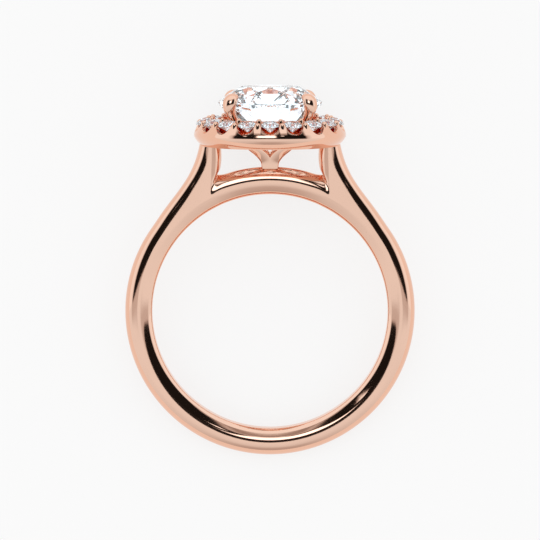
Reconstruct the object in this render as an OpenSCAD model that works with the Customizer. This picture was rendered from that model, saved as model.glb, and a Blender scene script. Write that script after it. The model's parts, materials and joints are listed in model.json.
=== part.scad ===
// Halo ring: a round centre stone in four claws, with a ring of small stones
// round it, on a plain rounded band with cathedral shoulders.
// It is worked out upright, with the finger along Y, the head up along Z and the
// origin at the centre of the finger hole, and then laid on its side on the floor.

/* [Finger band] */
// Inside diameter of the band
finger_d = 17.3; // [15:0.1:21]
// Thickness of the band, from the finger outwards
band_t = 2.0; // [1.7:0.1:2.4]
// Width of the band along the finger
band_w = 2.0; // [1.7:0.1:2.8]
// How far the inside edges are eased back
comfort = 0.26; // [0.15:0.01:0.35]
// Width of the straight stretch in the middle of the inside
bore_w = 0.9; // [0.6:0.1:1.1]

/* [Shoulders] */
// Angle from the head at which a shoulder starts inside the band
shoulder_angle = 66; // [60:1:72]
// Width of a shoulder where it meets the halo, seen from the front
shoulder_w = 1.5; // [1.2:0.1:1.8]
// How far a shoulder's outer edge stands inside the rim's widest line
shoulder_inset = 0.45; // [0.38:0.01:0.65]

/* [Halo rim] */
// Widest diameter of the rim
halo_d = 11.14; // [10.9:0.02:12]
// Inside diameter of the rim
halo_inner_d = 7.6; // [7.3:0.1:7.8]
// Height of the opening between the band and the rim
bridge_gap = 1.55; // [1.3:0.05:2.2]
// Height of the rim's widest line above its underside
rim_low = 1.13; // [0.9:0.01:1.3]
// How far the rim draws in from its widest line to its underside
rim_tuck = 0.57; // [0.3:0.01:0.7]
// Height of the rim's upper edge above its widest line
rim_top = 0.25; // [0.15:0.01:0.3]

/* [Halo stones] */
// Diameter of each small stone
small_d = 1.3; // [1.1:0.02:1.36]
// Least metal between two neighbouring small stones
small_space = 0.37; // [0.3:0.01:0.5]
// Distance from the rim's widest line in to the circle of stone centres
small_inset = 0.74; // [0.7:0.01:0.85]
// Height of the small stones' girdles above the rim's underside
small_h = 1.77; // [1.65:0.01:1.9]
// Outward tilt of the small stones
small_tilt = 15; // [8:1:20]
// Radius of the scallop cut in the rim in front of each small stone
scallop_r = 0.62; // [0.5:0.01:0.66]
// Height of a scallop's axis above the stone's girdle
scallop_up = 0.1; // [0:0.01:0.2]

/* [Beads] */
// Diameter of the outer beads
bead_d = 0.44; // [0.34:0.01:0.48]
// Diameter of the inner beads
inner_bead_d = 0.36; // [0.28:0.01:0.38]
// Distance from the circle of stone centres out to the outer beads
bead_out = 0.34; // [0.3:0.01:0.4]
// Distance from the circle of stone centres in to the inner beads
bead_in = 0.37; // [0.34:0.01:0.42]
// Height of the beads' centres above the metal between the stones
bead_up = 0.2; // [0.1:0.01:0.26]

/* [Centre stone] */
// Diameter of the centre stone
centre_d = 7.6; // [7.2:0.1:7.8]
// Height of its girdle above the halo's underside
centre_h = 3.1; // [2.95:0.05:3.6]

/* [Claws and peg] */
// Width of a claw at the girdle
claw_w = 0.96; // [0.8:0.02:1.1]
// Width of the wire that carries a claw
wire_w = 0.7; // [0.6:0.02:0.8]
// How far a claw stands out beyond the girdle
claw_out = 0.35; // [0.3:0.01:0.45]
// How far a claw's tip reaches in over the girdle
claw_in = 0.55; // [0.4:0.01:0.7]
// Thickness of the peg under the head
peg_d = 1.5; // [1.3:0.05:1.8]
// How far below the centre stone's point the peg parts into its arms
peg_fork = 0.65; // [0.5:0.05:0.9]

/* [Fit] */
// Clearance between a stone and the metal round it
stone_gap = 0.04; // [0.03:0.005:0.06]

/* [Hidden] */
rose_gold = [0.87, 0.66, 0.56];
diamond = [0.93, 0.95, 0.97];
// How far soldered pieces run into each other
weld = 0.3;
// Past every face that a cut passes through
past = 1;

finger_r = finger_d / 2;
band_out = finger_r + band_t;
band_mid = finger_r + band_t / 2;
halo_r = halo_d / 2;
halo_inner_r = halo_inner_d / 2;
halo_z = band_out + bridge_gap;
small_circle = halo_r - small_inset;
small_z = halo_z + small_h;
small_n = floor(180 / asin((small_d + small_space) / 2 / small_circle));
small_step = 360 / small_n;
centre_z = halo_z + centre_h;

// A brilliant cut's proportions, as shares of its diameter
TABLE = 0.56;
CROWN = 0.145;
GIRDLE = 0.03;
PAVILION = 0.425;
// Star facets reach this share of the way out, lower halves this share of the way in
STAR = 0.5;
LOWER = 0.77;
FOLD = 8;

SMALL = [for (i = [1:small_n]) str("halo_stone_", i < 10 ? "0" : "", i)];

// Helpers

function ring_of(n, r, z, turn = 0) =
    [for (k = [0:n - 1]) let (a = 360 * k / n + turn) [r * cos(a), r * sin(a), z]];

function bezier(p, t) =
    pow(1 - t, 3) * p[0] + 3 * pow(1 - t, 2) * t * p[1] + 3 * (1 - t) * t * t * p[2] + t * t * t * p[3];

function unit(v) = v / norm(v);

// Skin over a row of rings with the same number of points, closed at both ends
module loft(rings) {
    n = len(rings[0]);
    last = (len(rings) - 1) * n;
    sides = [for (i = [0:len(rings) - 2], j = [0:n - 1])
        let (a = i * n + j, b = i * n + (j + 1) % n) each [[a, b + n, b], [a, a + n, b + n]]];
    start = [for (j = [0:n - 1]) j];
    end = [for (j = [0:n - 1]) last + n - 1 - j];
    polyhedron([for (r = rings) each r], concat(sides, [start, end]));
}

// Finger band

// Half of the band's section as [distance out from its middle line, half width there]:
// a round front, a flatter flank inside it, a soft crease, and an edge eased to the bore
flank = 0.475 * band_t;
flank_a = 28;
flank_slope = band_w / 2 * tan(flank_a) / flank;
crease_u = comfort - band_t / 2;
crease_y = band_w / 2 * cos(flank_a) + (crease_u + flank * sin(flank_a)) * flank_slope;
CREASE = [crease_u, crease_y];
CORNER = [-band_t / 2, max(bore_w / 2, crease_y - 0.73 * comfort)];
BORE_EDGE = [-band_t / 2, bore_w / 2];
BAND_HALF = concat(
    [for (a = [90:-10:0]) [band_t / 2 * sin(a), band_w / 2 * cos(a)]],
    [for (a = [10:9:flank_a]) [-flank * sin(a), band_w / 2 * cos(a)]],
    [for (k = [0:4]) let (s = k / 4, q = 1 - s) q * q * CREASE + 2 * q * s * CORNER + s * s * BORE_EDGE]
);
BAND_SECTION = concat(
    [for (p = BAND_HALF) [band_mid + p[0], p[1]]],
    [for (i = [len(BAND_HALF) - 1:-1:1]) [band_mid + BAND_HALF[i][0], -BAND_HALF[i][1]]]
);

module band() {
    rotate([90, 0, 0]) rotate_extrude($fn = 180) polygon(BAND_SECTION);
}

// Shoulders

// The outer edge leaves the band along it and rises to the rim. The inner edge starts
// inside the band, comes out at the corner of the opening and rises straight up.
along = [-cos(shoulder_angle), 0, sin(shoulder_angle)];
out_of = [sin(shoulder_angle), 0, cos(shoulder_angle)];
outer_sink = 0.12;
inner_sink = 0.35;
shoulder_top = halo_z + weld;
shoulder_r = halo_r - shoulder_inset;
outer_start = band_out - outer_sink;
inner_start = finger_r + inner_sink;
outer_rise = shoulder_top - outer_start * cos(shoulder_angle);
inner_rise = shoulder_top - inner_start * cos(shoulder_angle);
OUTER_EDGE = [
    outer_start * out_of,
    outer_start * out_of + 0.57 * outer_rise * along,
    [shoulder_r + 0.076 * outer_rise, 0, shoulder_top - 0.437 * outer_rise],
    [shoulder_r, 0, shoulder_top]
];
INNER_EDGE = [
    inner_start * out_of,
    inner_start * out_of + 0.935 * inner_rise * along,
    [shoulder_r - shoulder_w - 0.0525 * inner_rise, 0, shoulder_top - 0.465 * inner_rise],
    [shoulder_r - shoulder_w, 0, shoulder_top]
];

// A rounded section between two points, a little fuller than an ellipse, and slightly
// narrower than the band where it starts inside it
function fuller(v) = sign(v) * pow(abs(v), 0.85);
function shoulder_ring(t, n = 16) =
    let (a = bezier(OUTER_EDGE, t), b = bezier(INNER_EDGE, t), c = (a + b) / 2, h = (a - b) / 2,
        deep = band_w / 2 * (0.92 + 0.08 * min(1, 2 * t)))
    [for (k = [0:n - 1]) let (f = 360 * k / n) c + h * fuller(cos(f)) + [0, deep * fuller(sin(f)), 0]];

module shoulder() {
    loft([for (k = [0:16]) shoulder_ring(k / 16)]);
}

// Halo rim

widest_z = halo_z + rim_low;
// How far the land between the stones lies below their girdles
land_sink = 0.05;
// Small bevel on the rim's edges
edge = 0.06;
// How far the land's outer edge stands inside the rim's widest line
land_in = 3 * edge;
function land(r) = small_z - (r - small_circle) * tan(small_tilt) - land_sink;
land_r = halo_r - land_in;
RIM = concat(
    [[halo_inner_r, halo_z]],
    [for (k = [0:6]) let (s = 1 - k / 6) [halo_r - rim_tuck * s * s, widest_z - rim_low * s]],
    [[halo_r - edge / 2, widest_z + rim_top], [land_r, land(land_r) - edge / 2]],
    [[land_r - edge, land(land_r)], [halo_inner_r + edge, land(halo_inner_r)]],
    [[halo_inner_r, land(halo_inner_r) - edge]]
);

// A stone's outline turned about its axis, grown by the clearance
module stone_space(d) {
    g = stone_gap;
    r = d / 2;
    top = CROWN * d + GIRDLE * d / 2;
    rotate_extrude($fn = 72) polygon([
        [0, top + g], [star_r(d, 0) + g, top + g], [star_r(d, 1) + 1.3 * g, star_z(d) + g],
        [r + g, GIRDLE * d / 2 + g], [r + g, -GIRDLE * d / 2 - g],
        [lower_r(d) + 1.3 * g, lower_z(d) - g], [0, -GIRDLE * d / 2 - PAVILION * d - 1.5 * g]
    ]);
}

// Places a small stone's own frame: girdle centre, with the axis leaning outwards
module at_small(i) {
    rotate([0, 0, -90 + i * small_step])
        translate([small_circle, 0, small_z]) rotate([0, small_tilt, 0]) children();
}

module post(r, d) {
    top = land(r) + bead_up;
    translate([r, 0, widest_z]) cylinder(h = top - widest_z, d = d, $fn = 32);
    translate([r, 0, top]) sphere(d = d, $fn = 32);
}

module halo_rim() {
    difference() {
        rotate_extrude($fn = 180) polygon(RIM);
        for (i = [0:small_n - 1]) at_small(i) {
            stone_space(small_d);
            cylinder(h = past, r = small_d / 2 + stone_gap, $fn = 48);
            translate([0, 0, scallop_up]) rotate([0, 90, 0])
                cylinder(h = 2 * past, r = scallop_r, $fn = 48);
        }
    }
    for (i = [0:small_n - 1]) rotate([0, 0, -90 + (i + 0.5) * small_step]) {
        post(small_circle + bead_out, bead_d);
        post(small_circle - bead_in, inner_bead_d);
    }
}

// Claws and peg

// Along a claw's wire: [distance out, height, width], from the foot in the band to the
// underside of the claw's head
claw_r = centre_d / 2 + claw_out;
foot_z = band_out - weld;
culet_z = centre_z - (PAVILION + GIRDLE / 2) * centre_d;
peg_r = peg_d / 3;
arm_w = 0.6 * peg_d;
// How far a wire runs into the rim's inner wall, how far below the small stones' girdles
// it meets that wall, and how far it stays inside the stones above it
rim_weld = 0.08;
weld_low = 0.45;
claw_clear = 0.3;
stone_in = small_circle - small_d / 2;
WIRE = [
    [peg_r, foot_z, arm_w],
    [peg_r, band_out + 0.15, arm_w],
    [peg_r + 0.12, band_out + 0.52, arm_w],
    [peg_r + 0.48, culet_z - 0.44, arm_w],
    [0.36 * claw_r, halo_z - 0.3, (arm_w + wire_w) / 2],
    [0.51 * claw_r, halo_z + 0.1, wire_w],
    [0.65 * claw_r, halo_z + 0.6, wire_w],
    [halo_inner_r + rim_weld - 0.4 * wire_w, small_z - weld_low, wire_w],
    [min(halo_inner_r + rim_weld, stone_in - stone_gap) - wire_w / 2, small_z, wire_w],
    [min(0.92 * claw_r, stone_in - claw_clear), centre_z - 0.8, 0.8 * claw_w],
    [0.98 * claw_r, centre_z - 0.45, 0.93 * claw_w],
    [claw_r, centre_z - 0.15, 0.95 * claw_w]
];

function wire_point(i) = [WIRE[i][0], 0, WIRE[i][1]];

function wire_ring(i, n = 12) =
    let (last = len(WIRE) - 1, ahead = unit(wire_point(min(i + 1, last)) - wire_point(max(i - 1, 0))),
        across = [ahead[2], 0, -ahead[0]], h = WIRE[i][2] / 2)
    [for (k = [0:n - 1]) let (f = 360 * k / n)
        wire_point(i) + h * cos(f) * across + [0, h * sin(f), 0]];

// The claw's head folds over the girdle onto the crown:
// [distance out, height, share of the claw's width]
CLAW_HEAD = [
    [claw_r, centre_z - 0.15, 1],
    [claw_r - 0.3, centre_z + 0.12, 0.88],
    [centre_d / 2 - claw_in + 0.2, centre_z + 0.2, 0.6]
];

module claw_head() {
    hull() for (p = CLAW_HEAD) translate([p[0], 0, p[1]]) sphere(d = p[2] * claw_w, $fn = 20);
}

module claw() {
    loft([for (i = [0:len(WIRE) - 1]) wire_ring(i)]);
    claw_head();
}

module claws() {
    difference() {
        for (a = [45:90:315]) rotate([0, 0, a]) claw();
        translate([0, 0, centre_z]) stone_space(centre_d);
    }
    translate([0, 0, foot_z]) cylinder(h = culet_z - foot_z - peg_fork, d = 0.7 * peg_d, $fn = 32);
}

// Stones

function star_r(d, k) = let (t = TABLE * d / 2, e = t * cos(180 / FOLD))
    k == 0 ? t : e + STAR * (d / 2 - e);
function star_z(d) = let (t = TABLE * d / 2)
    (GIRDLE / 2 + CROWN) * d - (star_r(d, 1) * cos(180 / FOLD) - t) * CROWN * d / (d / 2 - t);
function lower_r(d) = (1 - LOWER) * d / 2;
function lower_z(d) = -(GIRDLE / 2 + PAVILION * (1 - (1 - LOWER) * cos(180 / FOLD))) * d;

// Girdle edge: it waves, because the facets next to it are flat and the girdle is round
function wave(k, drop) = k % 2 == 0 ? 0 : drop;

module brilliant(d) {
    n = 4 * FOLD;
    half = 180 / FOLD;
    r = d / 2;
    sag = r * (1 - cos(half / 2));
    up = sag * (star_z(d) - GIRDLE * d / 2) / (r * cos(half / 2) - star_r(d, 1) * cos(half / 2));
    down = sag * (-lower_z(d) - GIRDLE * d / 2) / (r * cos(half / 2) - lower_r(d) * cos(half / 2));
    top = (GIRDLE / 2 + CROWN) * d;
    girdle = ring_of(n, r, 0);
    points = concat(
        ring_of(FOLD, TABLE * r, top),
        ring_of(FOLD, star_r(d, 1), star_z(d), half),
        [for (k = [0:n - 1]) girdle[k] + [0, 0, GIRDLE * d / 2 - wave(k, min(up, 0.4 * GIRDLE * d))]],
        [for (k = [0:n - 1]) girdle[k] - [0, 0, GIRDLE * d / 2 - wave(k, min(down, 0.4 * GIRDLE * d))]],
        ring_of(FOLD, lower_r(d), lower_z(d), half),
        [[0, 0, -(GIRDLE / 2 + PAVILION) * d]]
    );
    s = FOLD;
    g = 2 * FOLD;
    b = g + n;
    l = b + n;
    culet = l + FOLD;
    next = function(k) (k + 1) % FOLD;
    polyhedron(points, concat(
        [[for (k = [0:FOLD - 1]) FOLD - 1 - k]],
        [for (k = [0:FOLD - 1]) [k, next(k), s + k]],
        [for (k = [0:FOLD - 1]) [next(k), s + next(k), g + 4 * next(k), s + k]],
        [for (k = [0:FOLD - 1], h = [0, 2]) let (a = 4 * k + h)
            [s + k, g + (a + 2) % n, g + a + 1, g + a]],
        [for (k = [0:n - 1]) let (m = (k + 1) % n) [g + k, g + m, b + m, b + k]],
        [for (k = [0:FOLD - 1], h = [0, 2]) let (a = 4 * k + h)
            [l + k, b + a, b + a + 1, b + (a + 2) % n]],
        [for (k = [0:FOLD - 1]) [l + k, b + 4 * next(k), l + next(k), culet]]
    ));
}

// Lying on its side

// The rim and the far side of the band both touch the floor. The lean is the angle at
// which both reach equally low.
function rim_reach(t) = max([for (p = RIM) p[0] * cos(t) - p[1] * sin(t)]);
function band_reach(t) = max([for (p = BAND_HALF) p[1] * cos(t) + (band_mid + p[0]) * sin(t)]);
function find_lean(lo, hi, n) =
    let (m = (lo + hi) / 2)
    n == 0 ? m : rim_reach(m) > band_reach(m) ? find_lean(m, hi, n - 1) : find_lean(lo, m, n - 1);
lean = find_lean(0, 45, 30);
floor_drop = rim_reach(lean);
far_end = centre_z + (GIRDLE / 2 + CROWN) * centre_d;
reach_up = far_end * cos(lean) + TABLE * centre_d / 2 * sin(lean);
reach_down = max([for (p = BAND_HALF) (band_mid + p[0]) * cos(lean) + p[1] * sin(lean)]);

module laid() {
    translate([0, (reach_down - reach_up) / 2, floor_drop]) rotate([lean - 90, 0, 0]) children();
}

// Pieces

module ring_metal() {
    color(rose_gold) laid() {
        band();
        shoulder();
        mirror([1, 0, 0]) shoulder();
        halo_rim();
        claws();
    }
}

module centre_stone() {
    color(diamond) laid() translate([0, 0, centre_z]) brilliant(centre_d);
}

module halo_stone(i) {
    color(diamond) laid() at_small(i) brilliant(small_d);
}

ring_metal();
centre_stone();
for (i = [0:small_n - 1]) halo_stone(i);
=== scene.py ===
"""Halo ring: polished rose gold and cut diamonds, built round the ring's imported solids."""

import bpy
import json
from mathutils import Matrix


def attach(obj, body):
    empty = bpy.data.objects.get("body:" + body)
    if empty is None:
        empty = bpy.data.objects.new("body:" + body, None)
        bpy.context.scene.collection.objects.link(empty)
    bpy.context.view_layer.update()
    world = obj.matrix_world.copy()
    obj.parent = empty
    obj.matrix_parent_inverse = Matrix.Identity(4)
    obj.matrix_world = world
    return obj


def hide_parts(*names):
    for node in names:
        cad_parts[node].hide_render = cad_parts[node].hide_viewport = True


bl_info = {
    "name": "Halo Ring",
    "version": (1, 0, 0),
    "blender": (4, 5, 0),
    "location": "View3D > Sidebar > Halo Ring",
    "description": "Builds the polished metal, the cut stones and the studio of a halo ring",
    "category": "Add Mesh",
}

import json
from math import acos, cos, degrees, hypot, pi, radians, sin, tan

import bmesh
import bpy
from mathutils import Matrix, Vector

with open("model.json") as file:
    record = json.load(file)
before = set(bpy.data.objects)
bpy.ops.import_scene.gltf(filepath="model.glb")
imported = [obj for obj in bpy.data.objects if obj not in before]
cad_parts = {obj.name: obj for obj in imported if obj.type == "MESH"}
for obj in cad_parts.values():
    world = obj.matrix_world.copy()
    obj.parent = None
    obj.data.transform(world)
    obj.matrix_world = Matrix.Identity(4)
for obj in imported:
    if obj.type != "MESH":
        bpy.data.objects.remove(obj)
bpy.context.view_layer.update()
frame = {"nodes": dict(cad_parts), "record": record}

MM = 0.001
# Corners closer than this, in millimetres, are one corner
MERGE = 1e-4

# The upright frame, in millimetres: X right, Y away from the front, Z up to the head, with
# the origin at the centre of the finger hole. LAID lays it on its side where the solids are.

hole = next(m for m in frame["record"]["mounts"] if m["name"] == "finger_hole")
to_front = Vector(hole["axis"]).normalized()
to_right = Vector((1, 0, 0))
to_head = to_right.cross(-to_front)
LAID = (
    Matrix.Translation(hole["pos_m"])
    @ Matrix((to_right, -to_front, to_head)).transposed().to_4x4()
    @ Matrix.Scale(MM, 4)
)
UPRIGHT = LAID.inverted()


def corners(node):
    """The corners of a solid in the upright frame."""
    return [UPRIGHT @ v.co for v in frame["nodes"][node].data.vertices]


def stone_seat(node):
    """Where a stone's solid stands: its own frame at the middle of the girdle, and its diameter."""
    points = corners(node)
    culet = min(points, key=lambda p: p.z)
    middle = sum(points, Vector()) / len(points)
    up = (middle - culet).normalized()
    width = 2 * max((p - culet).cross(up).length for p in points)
    girdle = culet + up * (PAVILION + GIRDLE / 2) * width
    out = Vector((girdle.x, girdle.y, 0))
    out = out.normalized() if out.length > MERGE else Vector((1, 0, 0))
    side = up.cross(out).normalized()
    turn = Matrix((side.cross(up), side, up)).transposed().to_4x4()
    return Matrix.Translation(girdle) @ turn, width


# A brilliant cut's proportions, as shares of its diameter
TABLE = 0.56
CROWN = 0.145
GIRDLE = 0.03
PAVILION = 0.425
# How far the star facets reach to the girdle, and the lower girdle facets to the culet
STAR = 0.5
LOWER = 0.77
# Facets of each kind round the stone
FOLD = 8

SMALL_NODES = sorted(n for n in frame["nodes"] if n.startswith("halo_stone_"))
CENTRE_SEAT, CENTRE_D = stone_seat("centre_stone")
SMALL_SEAT, SMALL_D = stone_seat(SMALL_NODES[0])
CENTRE_Z = CENTRE_SEAT.translation.z
SMALL_Z = SMALL_SEAT.translation.z
SMALL_CIRCLE = hypot(SMALL_SEAT.translation.x, SMALL_SEAT.translation.y)
SMALL_TILT = acos(SMALL_SEAT.col[2].z)
SMALL_STEP = 2 * pi / len(SMALL_NODES)

metal = corners("ring_metal")
FINGER_R = hole["dims"]["r_mm"]
BAND_OUT = -min(p.z for p in metal)
BAND_W = 2 * max(abs(p.y) for p in metal if p.z < 0)
HALO_R = max(hypot(p.x, p.y) for p in metal if p.z > (BAND_OUT + SMALL_Z) / 2)


# Sizes and colours


class RingSizes(bpy.types.PropertyGroup):
    """Sizes of the metal, in millimetres, beside those that the solids give"""

    comfort: bpy.props.FloatProperty(
        name="Comfort", description="How far the inside edges are eased back, in mm", default=0.26
    )
    bore_w: bpy.props.FloatProperty(
        name="Bore width",
        description="Straight width in the middle of the inside, in mm",
        default=0.9,
    )
    bridge_gap: bpy.props.FloatProperty(
        name="Bridge gap", description="Opening between band and halo, in mm", default=1.55
    )
    shoulder_w: bpy.props.FloatProperty(
        name="Shoulder width",
        description="Width of a shoulder where it meets the halo, in mm",
        default=1.5,
    )
    shoulder_inset: bpy.props.FloatProperty(
        name="Shoulder inset",
        description="From the rim's widest line in to the shoulder, in mm",
        default=0.45,
    )
    halo_inner_d: bpy.props.FloatProperty(
        name="Halo inside", description="Inside diameter of the halo's rim, in mm", default=7.6
    )
    rim_low: bpy.props.FloatProperty(
        name="Rim depth", description="Widest line above the underside, in mm", default=0.79
    )
    rim_tuck: bpy.props.FloatProperty(
        name="Rim tuck", description="How far the underside draws in, in mm", default=0.57
    )
    scallop_r: bpy.props.FloatProperty(
        name="Scallop", description="Radius of the scallop before a halo stone, in mm", default=0.7
    )
    bead_d: bpy.props.FloatProperty(
        name="Outer bead", description="Diameter of the outer beads, in mm", default=0.44
    )
    inner_bead_d: bpy.props.FloatProperty(
        name="Inner bead", description="Diameter of the inner beads, in mm", default=0.36
    )
    peg_d: bpy.props.FloatProperty(
        name="Peg", description="Thickness of the peg under the head, in mm", default=1.5
    )


class RingColours(bpy.types.PropertyGroup):
    """Colours of the metal and the stones"""

    gold: bpy.props.FloatVectorProperty(
        name="Rose gold", description="Colour of the metal", subtype="COLOR", size=3,
        min=0, max=1, default=(0.875, 0.515, 0.37),
    )
    diamond: bpy.props.FloatVectorProperty(
        name="Diamond", description="Colour of the stones", subtype="COLOR", size=3,
        min=0, max=1, default=(0.985, 0.99, 1.0),
    )
    floor: bpy.props.FloatVectorProperty(
        name="Floor", description="Colour of the floor", subtype="COLOR", size=3,
        min=0, max=1, default=(0.19, 0.19, 0.19),
    )


# Shader nodes


class Socket:
    """A node's output. Python's operators on it add the Math nodes of the expression."""

    def __init__(self, paint, out):
        self.paint = paint
        self.out = out

    def _with(self, operation, first, second):
        return self.paint.node("ShaderNodeMath", {"operation": operation}, {0: first, 1: second})

    def __add__(self, other):
        return self._with("ADD", self, other)

    def __radd__(self, other):
        return self._with("ADD", other, self)

    def __sub__(self, other):
        return self._with("SUBTRACT", self, other)

    def __rsub__(self, other):
        return self._with("SUBTRACT", other, self)

    def __mul__(self, other):
        return self._with("MULTIPLY", self, other)

    def __rmul__(self, other):
        return self._with("MULTIPLY", other, self)


class Paint:
    """The nodes of one material or world."""

    def __init__(self, tree):
        self.tree = tree
        tree.nodes.clear()

    def node(self, kind, settings=None, sockets=None, out=0):
        """A node of this type: its settings come first, then the values or links of its sockets."""
        made = self.tree.nodes.new(kind)
        for name, value in (settings or {}).items():
            setattr(made, name, value)
        for name, value in (sockets or {}).items():
            if isinstance(value, Socket):
                self.tree.links.new(value.out, made.inputs[name])
            else:
                made.inputs[name].default_value = value
        if out is None:
            return {socket.name: Socket(self, socket) for socket in made.outputs}
        return Socket(self, made.outputs[out]) if len(made.outputs) else made

    def dot(self, a, b):
        return self.node("ShaderNodeVectorMath", {"operation": "DOT_PRODUCT"}, {0: a, 1: b}, "Value")

    def smooth(self, value, low, high):
        """0 at low and below, 1 at high and above, and smooth between."""
        return self.node(
            "ShaderNodeMapRange",
            {"interpolation_type": "SMOOTHSTEP"},
            {"Value": value, "From Min": low, "From Max": high},
        )

    def mix(self, share, a, b):
        return self.node(
            "ShaderNodeMix", {"data_type": "RGBA"}, {"Factor": share, "A": a, "B": b}, "Result"
        )

    def noise(self, place, scale, detail=2.0, rough=0.5, squash=(1, 1, 1), shift=0.0):
        """Noise of this many waves to the unit, drawn out along an axis whose squash is low."""
        at = self.node(
            "ShaderNodeMapping",
            {},
            {"Vector": place, "Location": [shift] * 3, "Scale": [scale * s for s in squash]},
        )
        return self.node(
            "ShaderNodeTexNoise",
            {},
            {"Vector": at, "Scale": 1.0, "Detail": detail, "Roughness": rough},
            "Fac",
        )


def new_material(name):
    """A new material and the paint that adds its nodes."""
    material = bpy.data.materials.new(name)
    material.use_nodes = True
    return material, Paint(material.node_tree)


# Waves to the metre in the patterns of the metal and the stones
GOLD_TINT_WAVES = 350.0
GRAIN_WAVES = 5200.0
WHEEL_WAVES = 2400.0
STONE_TINT_WAVES = 420.0
STONE_POLISH_WAVES = 9000.0
# The marks of polishing are drawn out along Y on the metal and along X on the stones
WHEEL_SQUASH = (1.0, 0.06, 1.0)
STONE_POLISH_SQUASH = (0.05, 1.0, 1.0)
# Roughness of the polish, and what the change of tint and the wheel marks add to it
POLISH = 0.045
TINT_ROUGH = 0.03
WHEEL_ROUGH = 0.025
STONE_ROUGH = 0.004
# Depth of the grain and the wheel marks, in metres, and how strongly they show
MARK_DEPTH = 2e-5
MARK_STRENGTH = 0.035
WHEEL_SHARE = 0.6
DIAMOND_INDEX = 2.42


def rose_gold(colours):
    """Polished rose gold: a clean mirror with faint wheel marks and a slow change of tint."""
    material, paint = new_material("polished rose gold")
    place = paint.node("ShaderNodeTexCoord", {}, {}, "Object")
    slow = paint.noise(place, GOLD_TINT_WAVES)
    fine = paint.noise(place, GRAIN_WAVES, 3.0)
    wheel = paint.noise(place, WHEEL_WAVES, 3.0, 0.6, WHEEL_SQUASH)
    base = Vector(colours.gold)
    darker, lighter = base * 0.985, base * 1.01
    tint = paint.mix(paint.smooth(slow, 0.3, 0.7), (*darker, 1), (*lighter, 1))
    rough = POLISH + TINT_ROUGH * slow + WHEEL_ROUGH * paint.smooth(wheel, 0.45, 0.75)
    marks = fine + WHEEL_SHARE * wheel
    bump = paint.node(
        "ShaderNodeBump",
        {},
        {"Strength": MARK_STRENGTH, "Distance": MARK_DEPTH, "Height": marks},
        "Normal",
    )
    shader = paint.node(
        "ShaderNodeBsdfPrincipled",
        {},
        {"Base Color": tint, "Metallic": 1.0, "Roughness": rough, "Normal": bump},
    )
    paint.node("ShaderNodeOutputMaterial", {}, {"Surface": shader})
    return material


def diamond(colours):
    """Colourless diamond: clear, with a breath of tint and of polish marks."""
    material, paint = new_material("cut diamond")
    place = paint.node("ShaderNodeTexCoord", {}, {}, "Object")
    slow = paint.noise(place, STONE_TINT_WAVES)
    lines = paint.noise(place, STONE_POLISH_WAVES, squash=STONE_POLISH_SQUASH)
    base = Vector(colours.diamond)
    warm = Vector((base.x, base.y * 0.995, base.z * 0.97))
    tint = paint.mix(paint.smooth(slow, 0.35, 0.65), (*base, 1), (*warm, 1))
    shader = paint.node(
        "ShaderNodeBsdfPrincipled",
        {},
        {
            "Base Color": tint,
            "Roughness": STONE_ROUGH * lines,
            "IOR": DIAMOND_INDEX,
            "Transmission Weight": 1.0,
        },
    )
    paint.node("ShaderNodeOutputMaterial", {}, {"Surface": shader})
    return material


def rose_gold_material():
    """The one rose gold, made when a piece first asks for it."""
    return bpy.data.materials.get("polished rose gold") or rose_gold(bpy.context.scene.ring_colours)


def diamond_material():
    """The one diamond, made when a piece first asks for it."""
    return bpy.data.materials.get("cut diamond") or diamond(bpy.context.scene.ring_colours)


# Pieces


def finish_piece(bm, name, material, nodes, smooth=True, sharp=None):
    """Lays the upright mesh on its side, makes it a piece on the root body and hides these nodes."""
    bmesh.ops.transform(bm, matrix=LAID, verts=bm.verts)
    for face in bm.faces:
        face.smooth = smooth
    mesh = bpy.data.meshes.new(name)
    bm.to_mesh(mesh)
    bm.free()
    if sharp is not None:
        mesh.set_sharp_from_angle(angle=sharp)
    mesh.materials.append(material)
    piece = bpy.data.objects.new(name, mesh)
    bpy.context.scene.collection.objects.link(piece)
    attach(piece, "root")
    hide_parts(*nodes)
    return piece


def subdivide(piece, levels):
    """Rounds a cage, alike in the view and the render."""
    rounding = piece.modifiers.new("Rounding", "SUBSURF")
    rounding.levels = rounding.render_levels = levels


def settled(bm, modify):
    """The mesh as a temporary object's modifiers leave it. modify adds them."""
    mesh = bpy.data.meshes.new("work")
    bm.to_mesh(mesh)
    bm.free()
    work = bpy.data.objects.new("work", mesh)
    bpy.context.scene.collection.objects.link(work)
    modify(work)
    bpy.context.view_layer.update()
    made = bmesh.new()
    made.from_object(work, bpy.context.evaluated_depsgraph_get())
    bpy.data.objects.remove(work)
    bpy.data.meshes.remove(mesh)
    return made


def carved(bm, cutters):
    """The mesh less each of the cutters, which are used up."""
    tools = []
    for cutter in cutters:
        mesh = bpy.data.meshes.new("cutter")
        cutter.to_mesh(mesh)
        cutter.free()
        tool = bpy.data.objects.new("cutter", mesh)
        bpy.context.scene.collection.objects.link(tool)
        tools.append(tool)

    def cut(work):
        for tool in tools:
            step = work.modifiers.new("Cut", "BOOLEAN")
            step.operation = "DIFFERENCE"
            step.solver = "EXACT"
            step.object = tool

    made = settled(bm, cut)
    for tool in tools:
        mesh = tool.data
        bpy.data.objects.remove(tool)
        bpy.data.meshes.remove(mesh)
    return made


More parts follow.
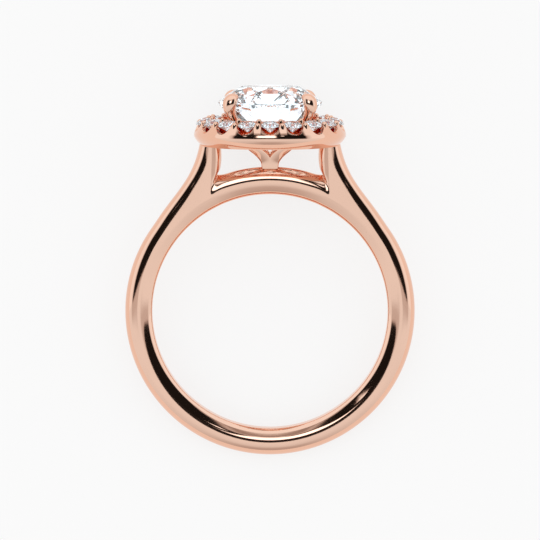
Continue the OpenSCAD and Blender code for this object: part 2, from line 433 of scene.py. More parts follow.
def spun(outline, steps, angle=2 * pi, start=0.0):
    """An outline of [radius, height] points spun round the Z axis."""
    bm = bmesh.new()
    verts = [bm.verts.new((r, 0, z)) for r, z in outline]
    for a, b in zip(verts, verts[1:]):
        bm.edges.new((a, b))
    full = angle > 2 * pi - MERGE
    if not full:
        bm.edges.new((verts[-1], verts[0]))
    bmesh.ops.rotate(bm, verts=bm.verts, matrix=Matrix.Rotation(start, 3, "Z"))
    bmesh.ops.spin(
        bm, geom=bm.verts[:] + bm.edges[:], cent=(0, 0, 0), axis=(0, 0, 1),
        angle=angle, steps=steps, use_merge=full,
    )
    if full:
        bmesh.ops.remove_doubles(bm, verts=bm.verts, dist=MERGE)
    else:
        bmesh.ops.holes_fill(bm, edges=[e for e in bm.edges if e.is_boundary], sides=0)
    bmesh.ops.recalc_face_normals(bm, faces=bm.faces)
    return bm


def placed(bm, matrix):
    """The same mesh, moved."""
    bmesh.ops.transform(bm, matrix=matrix, verts=bm.verts)
    return bm


def joined(parts):
    """One mesh of several, which are used up."""
    whole = bmesh.new()
    for part in parts:
        mesh = bpy.data.meshes.new("part")
        part.to_mesh(mesh)
        part.free()
        whole.from_mesh(mesh)
        bpy.data.meshes.remove(mesh)
    return whole


# Band and shoulders

# Half of the band's section in rows, from the middle of the inside outwards: 0 to 3 on the
# eased inside, 4 on its crease, 5 and 6 on the flank, and 7 on the ridge, where it is widest
CREASE_ROW = 4
RIDGE_ROW = 7
# Angles round the dome from the ridge to the outer edge, and from the ridge into the window,
# where a first row further off keeps the dark line at the ridge from thinning
DOME = [radians(a) for a in (6, 20, 40, 60, 77, 90)]
FORK_DOME = [radians(a) for a in (12, 26, 42, 60, 77, 90)]
OUTER_ROW = RIDGE_ROW + len(DOME)
OUTER_ROWS = [("a", RIDGE_ROW + 1 + k) for k in range(len(DOME))]
FORK_ROWS = [("w", RIDGE_ROW + 1 + k) for k in range(len(DOME))]
# The flank below the ridge: how far round it goes, and its depth as a share of the dome's
FLANK_ANGLE = radians(28)
FLANK_DEPTH = 0.95
# The straight bore's inner row, as a share of its half width, and how far its corner stays
# inside the crease, as a share of the easing
BORE_ROW = 0.6
BORE_CORNER = 0.73
# Powers of the dome's sine and cosine: 1 is an ellipse, and less is fuller
FULLER = 0.9
FORK_FULLER = 0.95
BRIDGE_FULLER = 0.92
# Radius of the rounding along the outer edge, and one past any width, for no flat at all
ROUND_R = (BAND_OUT - FINGER_R) / 2
WIDE_ROUND = 9.0
# How firmly the crease holds its edge when the cage is rounded
CREASE = 0.5

# Angles from the head at which the shoulder leaves the band and the band forks, and how far
# along the shoulder's outer and inner curves the fork lies
SHOULDER_ANGLE = radians(66)
FORK_INNER = radians(24.6)
FORK_RIDGE = radians(27.4)
FORK_OUTER = 0.66
FORK_CORNER = 0.67
# Where the shoulder's curves start inside the band, and how far they run up inside the rim
OUTER_SINK = 0.12
INNER_SINK = 0.35
RIM_SINK = 0.3
# Handles of those curves, as shares of their rise: along the start, then sideways and down
# from the end
OUTER_HANDLES = (0.57, 0.076, 0.437)
INNER_HANDLES = (0.935, 0.0525, 0.465)
# Sections of the cage: their step along the plain band, their count up to the fork, and where
# they stand along the bridge and the shoulder
BAND_STEP = radians(6)
RISING = 7
BRIDGE_STATIONS = (0.13, 0.32, 0.54, 0.77, 1.0)
SHOULDER_STATIONS = (0.18, 0.38, 0.6, 0.8, 0.94, 1.0)


def at_angle(r, angle):
    """A point of the ring's middle plane, by its angle from the head."""
    return Vector((r * sin(angle), 0, r * cos(angle)))


def bezier(p, t):
    """The point at t, from 0 to 1, of a curve with these four points."""
    s = 1 - t
    return s**3 * p[0] + 3 * s * s * t * p[1] + 3 * s * t * t * p[2] + t**3 * p[3]


def dome_points(rows, ridge, edge, half, power, round_r=ROUND_R, angles=DOME):
    """Keyed points from the flat at the ridge over a rounded edge, on both sides."""
    made = {}
    reach = (edge - ridge).length
    ridge = edge.lerp(ridge, min(1.0, round_r / reach))
    for row, angle in zip(rows, angles):
        out = sin(angle) ** power
        deep = max(0.0, cos(angle)) ** power
        for side in (0,) if row[1] == OUTER_ROW else (-1, 1):
            made[(*row, side)] = ridge + (edge - ridge) * out + Vector((0, side * half * deep, 0))
    return made


def inside_rows(sizes, half):
    """Rows 0 to 7 of the section as [height above the bore, half width]."""
    thick = (BAND_OUT - FINGER_R) / 2
    flank = FLANK_DEPTH * thick
    turn = thick - flank * sin(FLANK_ANGLE)
    crease = half * cos(FLANK_ANGLE) - (turn - sizes.comfort) * half * tan(FLANK_ANGLE) / flank
    bore = sizes.bore_w / 2
    corner = max(bore, crease - BORE_CORNER * sizes.comfort)
    return [
        (0, 0), (0, BORE_ROW * bore), (0, bore),
        (sizes.comfort / 4, crease / 4 + corner / 2 + bore / 4), (sizes.comfort, crease),
        (turn, half * cos(FLANK_ANGLE)),
        (thick - flank * sin(FLANK_ANGLE / 2), half * cos(FLANK_ANGLE / 2)), (thick, half),
    ]


def inside_points(sizes, inner, ridge, half):
    """Keyed points of the inside, the flank and the ridge."""
    rows = inside_rows(sizes, half)
    made = {}
    for row, (height, wide) in enumerate(rows):
        place = inner.lerp(ridge, height / rows[-1][0])
        for side in (0,) if row == 0 else (-1, 1):
            made[("a", row, side)] = place + Vector((0, side * wide, 0))
    return made


def hold_shape(verts, rounds=5):
    """Moves the cage so that its rounded surface passes where these corners stood."""
    aim = {v: v.co.copy() for v in verts}
    for _ in range(rounds):
        moves = {}
        for v in verts:
            n = len(v.link_edges)
            near = sum((e.other_vert(v).co for e in v.link_edges), Vector())
            across = (loop.link_loop_next.link_loop_next for loop in v.link_loops)
            far = sum((loop.vert.co for loop in across), Vector())
            # Where a corner of n edges comes to rest when its surface is rounded
            rest = (n * n * v.co + 4 * near + far) / (n * (n + 5))
            moves[v] = aim[v] - rest
        for v, move in moves.items():
            v.co += move


def drawn_on(bm, tip, keys, section, creased):
    """Extrudes the tip face and moves its corners to the section's keyed points."""
    ring = bmesh.ops.extrude_discrete_faces(bm, faces=[tip])["faces"][0]
    for vert, key in zip(ring.verts, keys):
        vert.co = section[key]
        if key[:2] == ("a", CREASE_ROW):
            creased.add(vert)
    return ring


def shoulder_edge(start, end, handles, outwards):
    """The four points of one edge of the shoulder. outwards is 1 or -1, the side it ends from."""
    along = Vector((-cos(SHOULDER_ANGLE), 0, sin(SHOULDER_ANGLE)))
    rise = end.z - start.z
    first, side, down = handles
    return [
        start,
        start + first * rise * along,
        Vector((end.x + outwards * side * rise, 0, end.z - down * rise)),
        end,
    ]


def band_mesh(sizes):
    """The right half of the band, forking into its bridge and shoulder, mirrored to the left."""
    half = BAND_W / 2
    ridge_r = (FINGER_R + BAND_OUT) / 2
    top = BAND_OUT + sizes.bridge_gap + RIM_SINK
    foot_r = HALO_R - sizes.shoulder_inset
    outer_start = at_angle(BAND_OUT - OUTER_SINK, SHOULDER_ANGLE)
    inner_start = at_angle(FINGER_R + INNER_SINK, SHOULDER_ANGLE)
    outer_end = Vector((foot_r, 0, top))
    inner_end = Vector((foot_r - sizes.shoulder_w, 0, top))
    outer_edge = shoulder_edge(outer_start, outer_end, OUTER_HANDLES, 1)
    inner_edge = shoulder_edge(inner_start, inner_end, INNER_HANDLES, -1)

    def whole(inner, ridge, outer, power=1.0):
        return {
            **inside_points(sizes, inner, ridge, half),
            **dome_points(OUTER_ROWS, ridge, outer, half, power),
        }

    # From the bottom of the band up to the fork
    stations = []
    plain = round((pi - SHOULDER_ANGLE) / BAND_STEP)
    for k in range(plain + 1):
        angle = pi + (SHOULDER_ANGLE - pi) * k / plain
        stations.append(whole(*(at_angle(r, angle) for r in (FINGER_R, ridge_r, BAND_OUT))))
    for k in range(1, RISING + 1):
        s = k / RISING
        inner = at_angle(FINGER_R, SHOULDER_ANGLE + (FORK_INNER - SHOULDER_ANGLE) * s)
        ridge = at_angle(ridge_r, SHOULDER_ANGLE + (FORK_RIDGE - SHOULDER_ANGLE) * s)
        outer = bezier(outer_edge, FORK_OUTER * s)
        if outer.length < BAND_OUT:
            outer = outer.normalized() * BAND_OUT
        stations.append(whole(inner, ridge, outer, 1 + (FULLER - 1) * s))

    keys = [("a", 0, 0)] + [("a", k, 1) for k in range(1, OUTER_ROW)]
    keys += [("a", OUTER_ROW, 0)] + [("a", k, -1) for k in range(OUTER_ROW - 1, 0, -1)]
    bm = bmesh.new()
    tip = bm.faces.new([bm.verts.new(stations[0][key]) for key in keys])
    creased = {vert for vert, key in zip(tip.verts, keys) if key[1] == CREASE_ROW}
    for section in stations[1:]:
        tip = drawn_on(bm, tip, keys, section, creased)

    # The fork: a chain of corners from the front ridge to the back one, at the window's corner
    fork_ridge = at_angle(ridge_r, FORK_RIDGE)
    corner = bezier(inner_edge, FORK_CORNER)
    chain = dome_points(FORK_ROWS, fork_ridge, corner, half, FORK_FULLER, WIDE_ROUND, FORK_DOME)
    chain_keys = [(*row, 1) for row in FORK_ROWS[:-1]] + [(*FORK_ROWS[-1], 0)]
    chain_keys += [(*row, -1) for row in FORK_ROWS[-2::-1]]
    named = dict(zip(tip.verts, keys))
    ends = {key: vert for vert, key in named.items()}
    front, back = ends[("a", RIDGE_ROW, 1)], ends[("a", RIDGE_ROW, -1)]
    other, _ = bmesh.utils.face_split(tip, front, back, coords=[chain[key] for key in chain_keys])
    for face in (tip, other):
        for vert in face.verts:
            if vert not in named:
                named[vert] = min(chain_keys, key=lambda key: (chain[key] - vert.co).length)
    tips = {("a", 0, 0) in [named[v] for v in face.verts]: face for face in (tip, other)}

    # The bridge, to the middle plane
    tip = tips[True]
    keys = [named[v] for v in tip.verts]
    for s in BRIDGE_STATIONS:
        inner = at_angle(FINGER_R, FORK_INNER * (1 - s))
        ridge = at_angle(ridge_r, FORK_RIDGE * (1 - s))
        crown = at_angle(BAND_OUT, corner.angle(Vector((0, 0, 1))) * (1 - s))
        section = {
            **inside_points(sizes, inner, ridge, half),
            **dome_points(FORK_ROWS, ridge, crown, half, BRIDGE_FULLER, WIDE_ROUND, FORK_DOME),
        }
        tip = drawn_on(bm, tip, keys, section, creased)
    bmesh.ops.delete(bm, geom=[tip], context="FACES_ONLY")

    # The shoulder, up into the rim
    tip = tips[False]
    keys = [named[v] for v in tip.verts]
    lag = fork_ridge - (bezier(outer_edge, FORK_OUTER) + corner) / 2
    for s in SHOULDER_STATIONS:
        outer = bezier(outer_edge, FORK_OUTER + (1 - FORK_OUTER) * s)
        inner = bezier(inner_edge, FORK_CORNER + (1 - FORK_CORNER) * s)
        ridge = (outer + inner) / 2 + lag * (1 - s) ** 2
        section = {
            **{("a", RIDGE_ROW, side): ridge + Vector((0, side * half, 0)) for side in (-1, 1)},
            **dome_points(OUTER_ROWS, ridge, outer, half, FULLER),
            **dome_points(FORK_ROWS, ridge, inner, half, FULLER, WIDE_ROUND, FORK_DOME),
        }
        tip = drawn_on(bm, tip, keys, section, creased)

    crease = bm.edges.layers.float.new("crease_edge")
    for edge in bm.edges:
        if creased.issuperset(edge.verts):
            edge[crease] = CREASE
    bmesh.ops.mirror(bm, geom=bm.verts[:] + bm.edges[:] + bm.faces[:], axis="X", merge_dist=MERGE)
    bmesh.ops.recalc_face_normals(bm, faces=bm.faces)
    hold_shape([v for v in bm.verts if all(len(f.verts) == 4 for f in v.link_faces)])
    return bm


class RING_OT_band(bpy.types.Operator):
    """Build the band with its bridge and shoulders"""

    bl_idname = "ring.band"
    bl_label = "Band and shoulders"

    def execute(self, context):
        bm = band_mesh(context.scene.ring_sizes)
        piece = finish_piece(bm, "band", rose_gold_material(), ["ring_metal"])
        subdivide(piece, 2)
        return {"FINISHED"}


# Halo rim

# How far the metal between the halo stones lies below their girdles
LAND_SINK = 0.05
# Width of the narrow slopes that break the rim's edges
EDGE = 0.06
# Clearance round a stone, and how many times it is kept at the facets' edges and at the point
STONE_GAP = 0.04
AT_EDGES = 1.3
AT_POINT = 1.5
# Steps of a full turn for what is round
ROUND_STEPS = 48
BEAD_STEPS = 24
# The bowl below the widest line draws in by this power of the depth: 2 is a parabola
BOWL = 1.7
BOWL_STEPS = 12
# Radius and height of the rounding above that line, and how many times steeper the wall over
# it leans in than the rounding's end
RIM_ROUND = 0.75
WALL_UP = 0.27
WALL_STEPS = 5
WALL_LEAN = 1.25
# The lip before the halo stones, by distances out from their circle: its inner edge, the foot
# of the slope inside it, and the places whose land gives the heights of the foot and the lip
LIP_EDGE = 0.24
LIP_FOOT = 0.14
FOOT_LEVEL_AT = 0.1
LIP_LEVEL_AT = 0.34
LIP_UP = 0.1
# The scallop's axis above a halo stone's middle, and the hollow under the stone, which is deep
# so that its walls mirror each other
SCALLOP_UP = 0.18
SCALLOP_LONG = 2.0
HOLLOW_R = 0.6
HOLLOW_TOP = 0.3
HOLLOW_DEEP = 1.4
# Steps of one stone's share of the rim
SHARE_STEPS = 20
# The beads: distances out and in from the circle of stones, and heights over the land
BEAD_OUT = 0.28
BEAD_IN = 0.37
OUTER_BEAD_UP = 0.06
INNER_BEAD_UP = 0.2
# Steps from a bead's top to its side
DOME_STEPS = 6


def land(r):
    """Height of the metal between the halo stones, at this radius."""
    return SMALL_Z - (r - SMALL_CIRCLE) * tan(SMALL_TILT) - LAND_SINK


def star_r(d):
    """How far out the star facets of a stone this wide reach."""
    inside = TABLE * d / 2 * cos(pi / FOLD)
    return inside + STAR * (d / 2 - inside)


def star_z(d):
    """Height of that point over the middle of the girdle."""
    flat = TABLE * d / 2
    slope = CROWN * d / (d / 2 - flat)
    return (GIRDLE / 2 + CROWN) * d - (star_r(d) * cos(pi / FOLD) - flat) * slope


def lower_r(d):
    """How far from the axis the lower girdle facets end."""
    return (1 - LOWER) * d / 2


def lower_z(d):
    """Height of that point, below the middle of the girdle."""
    return -(GIRDLE / 2 + PAVILION * (1 - (1 - LOWER) * cos(pi / FOLD))) * d


def stone_space(d):
    """A stone's outline turned about its axis, grown by the clearance."""
    g = STONE_GAP
    top = (CROWN + GIRDLE / 2) * d
    culet = -(GIRDLE / 2 + PAVILION) * d
    outline = [
        (0, top + g), (TABLE * d / 2 + g, top + g), (star_r(d) + AT_EDGES * g, star_z(d) + g),
        (d / 2 + g, GIRDLE * d / 2 + g), (d / 2 + g, -GIRDLE * d / 2 - g),
        (lower_r(d) + AT_EDGES * g, lower_z(d) - g), (0, culet - AT_POINT * g),
    ]
    return spun(outline, ROUND_STEPS)


def rod(r, length, turn):
    """A closed cylinder from the origin along Z, then turned."""
    bm = bmesh.new()
    bmesh.ops.create_cone(
        bm, cap_ends=True, segments=ROUND_STEPS, radius1=r, radius2=r, depth=length
    )
    return placed(bm, turn @ Matrix.Translation((0, 0, length / 2)))


def rim_outline(sizes):
    """The rim's section as [radius, height], from its inside down, out, up and back in."""
    halo_z = BAND_OUT + sizes.bridge_gap
    widest = halo_z + sizes.rim_low
    inner = sizes.halo_inner_d / 2
    points = [(inner, halo_z + EDGE / 2), (inner + EDGE / 2, halo_z)]
    points.append((HALO_R - sizes.rim_tuck - EDGE / 2, halo_z))
    for k in range(BOWL_STEPS + 1):
        s = 1 - k / BOWL_STEPS
        points.append((HALO_R - sizes.rim_tuck * s**BOWL, widest - (sizes.rim_low - EDGE / 3) * s))
    for k in range(1, WALL_STEPS + 1):
        up = WALL_UP * k / WALL_STEPS
        points.append((HALO_R - up * up / 2 / RIM_ROUND, widest + up))
    r, z = points[-1]
    top = land(SMALL_CIRCLE + LIP_LEVEL_AT) + LIP_UP
    foot = land(SMALL_CIRCLE + FOOT_LEVEL_AT)
    lean = WALL_UP / RIM_ROUND * WALL_LEAN
    points += [(r - lean * (top - EDGE - z), top - EDGE), (r - lean * (top - z) - EDGE, top)]
    points += [(SMALL_CIRCLE + LIP_EDGE, top), (SMALL_CIRCLE + LIP_FOOT, foot)]
    points += [(inner + EDGE, land(inner + EDGE)), (inner + EDGE / 3, land(inner) - EDGE / 4)]
    return points + [(inner, land(inner) - EDGE)]


def round_halo(bm):
    """Repeats one stone's share all round the halo."""
    more = len(SMALL_NODES) - 1
    bmesh.ops.spin(
        bm, geom=bm.verts[:] + bm.edges[:] + bm.faces[:], cent=(0, 0, 0), axis=(0, 0, 1),
        angle=SMALL_STEP * more, steps=more, use_duplicate=True,
    )


def rim_mesh(sizes):
    """One stone's share of the rim, with its seat and scallop cut, repeated round the halo."""
    wedge = spun(rim_outline(sizes), SHARE_STEPS, SMALL_STEP, -SMALL_STEP / 2)
    seat = Matrix.Translation((SMALL_CIRCLE, 0, SMALL_Z)) @ Matrix.Rotation(SMALL_TILT, 4, "Y")
    hollow = seat @ Matrix.Translation((0, 0, HOLLOW_TOP - HOLLOW_DEEP))
    scallop = seat @ Matrix.Translation((0, 0, SCALLOP_UP)) @ Matrix.Rotation(pi / 2, 4, "Y")
    cutters = [
        placed(stone_space(SMALL_D), seat),
        rod(SMALL_D / 2 + STONE_GAP, SMALL_D, seat),
        rod(HOLLOW_R, HOLLOW_DEEP, hollow),
        rod(sizes.scallop_r, SCALLOP_LONG, scallop),
    ]
    bm = carved(wedge, cutters)
    sides = [Vector((-sin(a), cos(a), 0)) for a in (-SMALL_STEP / 2, SMALL_STEP / 2)]
    ends = [
        f for f in bm.faces if any(all(abs(v.co.dot(n)) < MERGE for v in f.verts) for n in sides)
    ]
    bmesh.ops.delete(bm, geom=ends, context="FACES_ONLY")
    round_halo(bm)
    bmesh.ops.remove_doubles(bm, verts=bm.verts, dist=MERGE)
    bmesh.ops.rotate(bm, verts=bm.verts, matrix=Matrix.Rotation(-pi / 2, 3, "Z"))
    bmesh.ops.recalc_face_normals(bm, faces=bm.faces)
    return bm


def bead_post(r, d, up, base):
    """A post from this base, at this radius on the X axis, with a round bead this far up."""
    top = land(r) + up
    turns = [pi / 2 * k / DOME_STEPS for k in range(DOME_STEPS + 1)]
    outline = [(d / 2 * sin(a), top + d / 2 * cos(a)) for a in turns]
    outline += [(d / 2, base), (0, base)]
    return placed(spun(outline, BEAD_STEPS), Matrix.Translation((r, 0, 0)))


def beads_mesh(sizes):
    """An outer and an inner bead between two halo stones, repeated round the halo."""
    base = BAND_OUT + sizes.bridge_gap + sizes.rim_low
    pair = joined([
        bead_post(SMALL_CIRCLE + BEAD_OUT, sizes.bead_d, OUTER_BEAD_UP, base),
        bead_post(SMALL_CIRCLE - BEAD_IN, sizes.inner_bead_d, INNER_BEAD_UP, base),
    ])
    between = Matrix.Rotation(-pi / 2 + SMALL_STEP / 2, 3, "Z")
    bmesh.ops.rotate(pair, verts=pair.verts, matrix=between)
    round_halo(pair)
    return pair


class RING_OT_halo_rim(bpy.types.Operator):
    """Build the scalloped rim and the beads that hold the halo stones"""

    bl_idname = "ring.halo_rim"
    bl_label = "Halo rim"

    def execute(self, context):
        sizes = context.scene.ring_sizes
        gold = rose_gold_material()
        finish_piece(
            rim_mesh(sizes), "halo_rim", gold, ["ring_metal"], sharp=radians(32)
        )
        finish_piece(
            beads_mesh(sizes), "beads", gold, ["ring_metal"], sharp=radians(50)
        )
        return {"FINISHED"}


# Claws and peg

# Along a claw: distance out, height, width across, thickness and squareness, from its foot in
# the band to its tip on the crown, in millimetres. At 1 its section is square to the front of
# the ring, so that the four feet make one square peg, and at 0 it is round.
CLAW_ROWS = [
    (0.28, 10.35, 1.18, 1.18, 1.0),
    (0.28, 10.75, 1.18, 1.18, 1.0),
    (0.34, 11.08, 1.18, 1.18, 1.0),
    (0.52, 11.38, 1.18, 1.18, 1.0),
    (0.82, 11.66, 1.14, 1.14, 0.9),
    (1.30, 11.97, 1.00, 1.00, 0.7),
    (2.05, 12.30, 0.82, 0.82, 0.4),
    (2.70, 12.80, 0.70, 0.70, 0.1),
    (3.15, 13.40, 0.66, 0.66, 0.0),
    (3.52, 13.97, 0.62, 0.64, 0.0),
    (3.84, 14.42, 0.60, 0.66, 0.0),
    (4.06, 14.78, 0.78, 0.80, 0.0),
    (4.16, 15.14, 1.04, 0.98, 0.0),
    (4.12, 15.48, 1.16, 1.02, 0.0),
    (3.95, 15.76, 1.08, 0.90, 0.0),
    (3.66, 15.88, 0.84, 0.64, 0.0),
    (3.40, 15.86, 0.50, 0.38, 0.0),
]
CLAW_SIDES = 16
# The square's corners lie on the axes: its reach along them, and the power that rounds them
SQUARE_REACH = 0.97
SQUARE_POWER = 1.15
# The round core that joins the four wires: its radius as a share of the peg, how far it runs
# down into the band, and how far below the culet it ends
CORE_SHARE = 0.35
CORE_SINK = 0.3
CORE_CLEAR = 0.2


def squared(angle, share):
    """How far a section reaches this way: 1 all round, or the way to a square's flat sides."""
    powers = abs(cos(angle)) ** SQUARE_POWER + abs(sin(angle)) ** SQUARE_POWER
    square = SQUARE_REACH / powers ** (1 / SQUARE_POWER)
    return 1 + (square - 1) * share


def claw_mesh():
    """The cage of one claw, out along the X axis."""
    places = [Vector((row[0], 0, row[1])) for row in CLAW_ROWS]
    bm = bmesh.new()
    tip = None
    for k, (_, _, wide, thick, share) in enumerate(CLAW_ROWS):
        ahead = places[min(k + 1, len(places) - 1)] - places[max(k - 1, 0)]
        ahead.normalize()
        across = Vector((ahead.z, 0, -ahead.x))
        ring = []
        for j in range(CLAW_SIDES):
            a = 2 * pi * j / CLAW_SIDES
            reach = squared(a, share) / 2
            aside = Vector((0, wide * reach * sin(a), 0))
            ring.append(places[k] + across * thick * reach * cos(a) + aside)
        if tip is None:
            tip = bm.faces.new([bm.verts.new(p) for p in ring])
        else:
            tip = bmesh.ops.extrude_discrete_faces(bm, faces=[tip])["faces"][0]
            for vert, place in zip(tip.verts, ring):
                vert.co = place
    bmesh.ops.holes_fill(bm, edges=[e for e in bm.edges if e.is_boundary], sides=0)
    bmesh.ops.recalc_face_normals(bm, faces=bm.faces)
    return bm


def claws_mesh(sizes):
    """Four claws cut clear of the centre stone, and the core that joins their wires."""

    def smooth(work):
        subdivide(work, 2)

    claw = settled(claw_mesh(), smooth)
    space = placed(stone_space(CENTRE_D), Matrix.Translation((0, 0, CENTRE_Z)))
    claw = carved(claw, [space])
    bmesh.ops.rotate(claw, verts=claw.verts, matrix=Matrix.Rotation(pi / 4, 3, "Z"))
    bmesh.ops.spin(
        claw, geom=claw.verts[:] + claw.edges[:] + claw.faces[:], cent=(0, 0, 0), axis=(0, 0, 1),
        angle=pi * 3 / 2, steps=3, use_duplicate=True,
    )
    foot = BAND_OUT - CORE_SINK
    culet = CENTRE_Z - (PAVILION + GIRDLE / 2) * CENTRE_D
    tall = culet - CORE_CLEAR - foot
    core = rod(CORE_SHARE * sizes.peg_d, tall, Matrix.Translation((0, 0, foot)))
    return joined([claw, core])


class RING_OT_claws(bpy.types.Operator):
    """Build the four claws and the peg that carries them"""

    bl_idname = "ring.claws"
    bl_label = "Claws and peg"

    def execute(self, context):
        finish_piece(
            claws_mesh(context.scene.ring_sizes), "claws", rose_gold_material(),
            ["ring_metal"], sharp=radians(40),
        )
        return {"FINISHED"}


# Stones

# Faces that differ by less than this are one facet
FACET_ANGLE = radians(0.2)


def brilliant(d):
    """A round brilliant, ground from a short cylinder facet by facet."""
    bm = bmesh.new()
    r = d / 2
    girdle = GIRDLE * r
    table_z = (GIRDLE / 2 + CROWN) * d
    culet_z = -(GIRDLE / 2 + PAVILION) * d
    bmesh.ops.create_cone(
        bm, cap_ends=True, segments=8 * FOLD, radius1=r, radius2=r, depth=table_z - culet_z
    )
    bmesh.ops.translate(bm, verts=bm.verts, vec=(0, 0, (table_z + culet_z) / 2))
    flat = TABLE * r
    half = pi / FOLD

    def grind(a, b, c):
        """Cuts off what lies beyond the plane through three points."""
        normal = (b - a).cross(c - a).normalized()
        if normal.dot(a) < 0:
            normal = -normal
        cut = bmesh.ops.bisect_plane(
            bm, geom=bm.verts[:] + bm.edges[:] + bm.faces[:], plane_co=a, plane_no=normal,
            dist=MERGE / 10, clear_outer=True,
        )
        rim = [e for e in cut["geom_cut"] if isinstance(e, bmesh.types.BMEdge) and e.is_boundary]
        bmesh.ops.edgeloop_fill(bm, edges=rim)

    def around(radius, z, angle):
        return Vector((radius * cos(angle), radius * sin(angle), z))

    for k in range(FOLD):
        corner = 2 * half * k
        # Crown main, through a table corner and tangent to the girdle below it
        side = Vector((-sin(corner), cos(corner), 0))
        rim_point = around(r, girdle, corner)
        grind(around(flat, table_z, corner), rim_point, rim_point + side)
        # Pavilion main, from the culet
        low_point = around(r, -girdle, corner)
        grind(Vector((0, 0, culet_z)), low_point, low_point + side)
    for k in range(FOLD):
        corner, next_corner, mid = 2 * half * k, 2 * half * (k + 1), 2 * half * (k + 0.5)
        star = around(star_r(d), star_z(d), mid)
        lower = around(lower_r(d), lower_z(d), mid)
        grind(around(flat, table_z, corner), around(flat, table_z, next_corner), star)
        for edge in (corner, next_corner):
            beside = mid + (edge - mid) / 2
            grind(star, around(r, girdle, edge), around(r, girdle, beside))
            grind(lower, around(r, -girdle, edge), around(r, -girdle, beside))
    bmesh.ops.dissolve_limit(bm, angle_limit=FACET_ANGLE, verts=bm.verts, edges=bm.edges)
    bmesh.ops.recalc_face_normals(bm, faces=bm.faces)
    return bm


class RING_OT_stones(bpy.types.Operator):
    """Cut the centre stone and the halo stones"""

    bl_idname = "ring.stones"
    bl_label = "Stones"

    def execute(self, context):
        clear = diamond_material()
        for node in ["centre_stone", *SMALL_NODES]:
            seat, width = stone_seat(node)
            stone = placed(brilliant(width), seat)
            finish_piece(stone, f"{node}_cut", clear, [node], smooth=False)
        return {"FINISHED"}


# Studio


# Radius of the floor, in metres, and the waves to the metre of its grain
FLOOR_R = 3.0
FLOOR_GRAIN_WAVES = 900.0
# A light table glows, which keeps the ring's shadow faint
FLOOR_GLOW = 0.755


def floor_material(colours):
    """Matt pale paper with the faintest grain."""
    material, paint = new_material("pale floor")
    place = paint.node("ShaderNodeTexCoord", {}, {}, "Object")
    grain = paint.noise(place, FLOOR_GRAIN_WAVES)
    base = Vector(colours.floor)
    darker, lighter = base * 0.995, base * 1.005
    tint = paint.mix(grain, (*darker, 1), (*lighter, 1))
    shader = paint.node(
        "ShaderNodeBsdfPrincipled",
        {},
        {
            "Base Color": tint, "Roughness": 0.9, "Specular IOR Level": 0.0,
            "Emission Color": (1, 1, 1, 1), "Emission Strength": FLOOR_GLOW,
        },
    )
    paint.node("ShaderNodeOutputMaterial", {}, {"Surface": shader})
    return material


# The camera: how far off and how far above the front it stands, the height it aims at above the
# middle of the finger hole, its lens and sensor in millimetres, and its clipping in metres
CAMERA_DISTANCE = 260.0
CAMERA_RAISE = radians(6.5)
AIM_UP = 3.03
LENS = 235.7
SENSOR = 36.0
CLIP_START = 0.01
CLIP_END = 10.0


def camera_axes():
    """The camera's place, and the ways right, up and back from it."""
    eye = LAID @ (CAMERA_DISTANCE * Vector((0, -cos(CAMERA_RAISE), sin(CAMERA_RAISE))))
    back = (eye - LAID @ Vector((0, 0, AIM_UP))).normalized()
    return eye, to_right, back.cross(to_right), back


# What the polished metal mirrors, as boxes of directions in degrees: left, right, bottom and
# top, seen from the ring with the camera straight ahead, then the softness of the edges and
# the brightness. Each box covers the ones before it.
HORIZON = -6.2
MIRRORED = [
    ("nearer table", -200, 200, -110, -42, 20, 0.8),
    ("table's near edge", -200, 200, -110, -68, 14, 0.55),
    ("ring's own shade", -35, 35, -110, -62, 15, 0.55),
    ("walls", -200, 200, HORIZON, 100, 1.5, 1.08),
    ("shade before the left card", -62, -15, -13, 30, 6, 0.66),
    ("shade before the right card", 15, 62, -13, 30, 6, 0.66),
    ("left card", -57, -7, HORIZON, 36, 2.5, 0.012),
    ("right card", 8, 57, HORIZON, 36, 2.5, 0.012),
    ("gap over the cards", -57, 57, 37, 41, 2.0, 0.35),
    ("table's far edge", -16, 16, HORIZON, 7.5, 1.5, 0.02),
    ("window", -20, 8.5, 8.5, 31, 3.0, 2.3),
    ("lamp on the right", 17, 22, 24, 30, 1.5, 1.6),
    ("lamp on the left", -41, -36, 18, 23, 1.5, 1.2),
]
# What is left outside the boxes, the light on the matt floor, and what the camera sees
TABLE_TOP = 0.95
SOFT_LIGHT = 1.07
PLAIN = 0.956
# Light is followed this many times from facet to facet
BOUNCES = 20
# Bright and dark patches all round, alike on the left and the right, which the stones' facets
# pick up: their number, their place in the noise, and where it parts them and how softly
PATCHES = 5.0
PATCH_SHIFT = 3.1
PATCH_EDGE = 0.43
PATCH_SOFT = 0.02
PATCH_DARK = 0.03
PATCH_BRIGHT = 1.35
# The studio's light as the metal mirrors it: warm up to the first brightness, and cool from
# the second
WARM_UP_TO = 0.3
COOL_FROM = 0.93
WARM = (1.0, 0.94, 0.93)
COOL = (0.965, 1.105, 1.2)


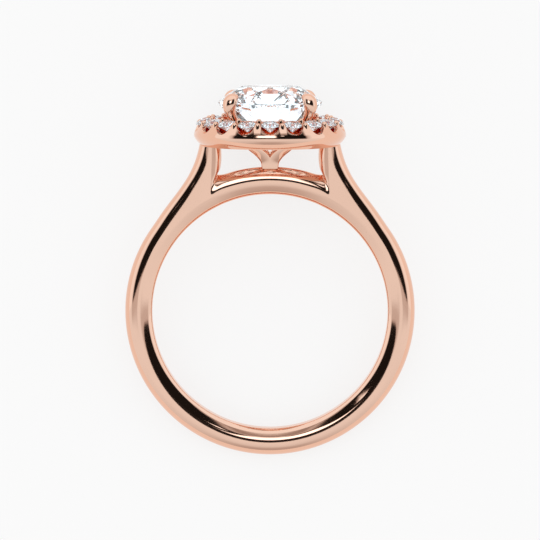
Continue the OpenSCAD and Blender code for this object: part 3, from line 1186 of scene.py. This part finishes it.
def studio_world():
    """The studio as the metal mirrors it. The floor is lit evenly, and the camera sees it plain."""
    world = bpy.data.worlds.new("studio")
    world.use_nodes = True
    paint = Paint(world.node_tree)
    way = paint.node("ShaderNodeTexCoord", {}, {}, "Generated")
    rightwards, upwards, backwards = (paint.dot(way, axis) for axis in camera_axes()[1:])
    turn = paint.node("ShaderNodeMath", {"operation": "ARCTAN2"}, {0: rightwards, 1: backwards})
    rise = paint.node("ShaderNodeMath", {"operation": "ARCSINE"}, {0: upwards})
    across = turn * degrees(1)
    height = rise * degrees(1)
    light = TABLE_TOP
    for _, left, right, bottom, top, soft, bright in MIRRORED:
        inside = (
            paint.smooth(across, left - soft, left + soft)
            * (1 - paint.smooth(across, right - soft, right + soft))
            * paint.smooth(height, bottom - soft / 2, bottom + soft / 2)
            * (1 - paint.smooth(height, top - soft, top + soft))
        )
        light = light + inside * (bright - light)
    ray = paint.node("ShaderNodeLightPath", {}, {}, None)
    aside = paint.node("ShaderNodeMath", {"operation": "ABSOLUTE"}, {0: rightwards})
    both_ways = paint.node(
        "ShaderNodeCombineXYZ", {}, {"X": aside, "Y": upwards, "Z": backwards}
    )
    patches = paint.noise(both_ways, PATCHES, 0.0, shift=PATCH_SHIFT)
    patches = paint.smooth(patches, PATCH_EDGE - PATCH_SOFT, PATCH_EDGE + PATCH_SOFT)
    through = paint.smooth(ray["Transmission Depth"], 0.0, 1.0)
    light = light + through * (PATCH_DARK + (PATCH_BRIGHT - PATCH_DARK) * patches - light)
    light = light + ray["Is Diffuse Ray"] * (SOFT_LIGHT - light)
    light = light + ray["Is Camera Ray"] * (PLAIN - light)
    mirrored = paint.mix(paint.smooth(light, WARM_UP_TO, COOL_FROM), (*WARM, 1), (*COOL, 1))
    tint = paint.mix(ray["Is Glossy Ray"], (1, 1, 1, 1), mirrored)
    shader = paint.node("ShaderNodeBackground", {}, {"Color": tint, "Strength": light})
    paint.node("ShaderNodeOutputWorld", {}, {"Surface": shader})
    bpy.context.scene.world = world


class RING_OT_studio(bpy.types.Operator):
    """Lay the pale floor, light it softly and set the camera at the photograph's angle"""

    bl_idname = "ring.studio"
    bl_label = "Studio"

    def execute(self, context):
        bm = bmesh.new()
        bmesh.ops.create_circle(bm, cap_ends=True, radius=FLOOR_R, segments=2 * ROUND_STEPS)
        mesh = bpy.data.meshes.new("floor")
        bm.to_mesh(mesh)
        bm.free()
        mesh.materials.append(floor_material(context.scene.ring_colours))
        floor = bpy.data.objects.new("floor", mesh)
        context.scene.collection.objects.link(floor)
        floor.visible_transmission = False
        studio_world()
        context.scene.view_settings.view_transform = "Standard"
        paths = context.scene.cycles
        paths.max_bounces = paths.glossy_bounces = paths.transmission_bounces = BOUNCES

        data = bpy.data.cameras.new("camera")
        data.sensor_width = SENSOR
        data.lens = LENS
        data.clip_start = CLIP_START
        data.clip_end = CLIP_END
        camera = bpy.data.objects.new("camera", data)
        context.scene.collection.objects.link(camera)
        eye, *axes = camera_axes()
        camera.matrix_world = Matrix.Translation(eye) @ Matrix(axes).transposed().to_4x4()
        context.scene.camera = camera
        return {"FINISHED"}


class RING_PT_panel(bpy.types.Panel):
    """Lists the pieces of the halo ring"""

    bl_label = "Halo Ring"
    bl_idname = "RING_PT_panel"
    bl_space_type = "VIEW_3D"
    bl_region_type = "UI"
    bl_category = "Halo Ring"

    def draw(self, context):
        for group in (context.scene.ring_sizes, context.scene.ring_colours):
            for name in group.__annotations__:
                self.layout.prop(group, name)
        for operator in OPERATORS:
            self.layout.operator(operator.bl_idname)


GROUPS = {"ring_sizes": RingSizes, "ring_colours": RingColours}
OPERATORS = (RING_OT_studio, RING_OT_band, RING_OT_halo_rim, RING_OT_claws, RING_OT_stones)


def register():
    for kind in (*GROUPS.values(), *OPERATORS, RING_PT_panel):
        bpy.utils.register_class(kind)
    for name, kind in GROUPS.items():
        setattr(bpy.types.Scene, name, bpy.props.PointerProperty(type=kind))


def unregister():
    for name in GROUPS:
        delattr(bpy.types.Scene, name)
    for kind in reversed((*GROUPS.values(), *OPERATORS, RING_PT_panel)):
        bpy.utils.unregister_class(kind)


def main():
    register()
    bpy.ops.ring.studio()
    bpy.ops.ring.band()
    bpy.ops.ring.halo_rim()
    bpy.ops.ring.claws()
    bpy.ops.ring.stones()


if __name__ == "__main__":
    main()
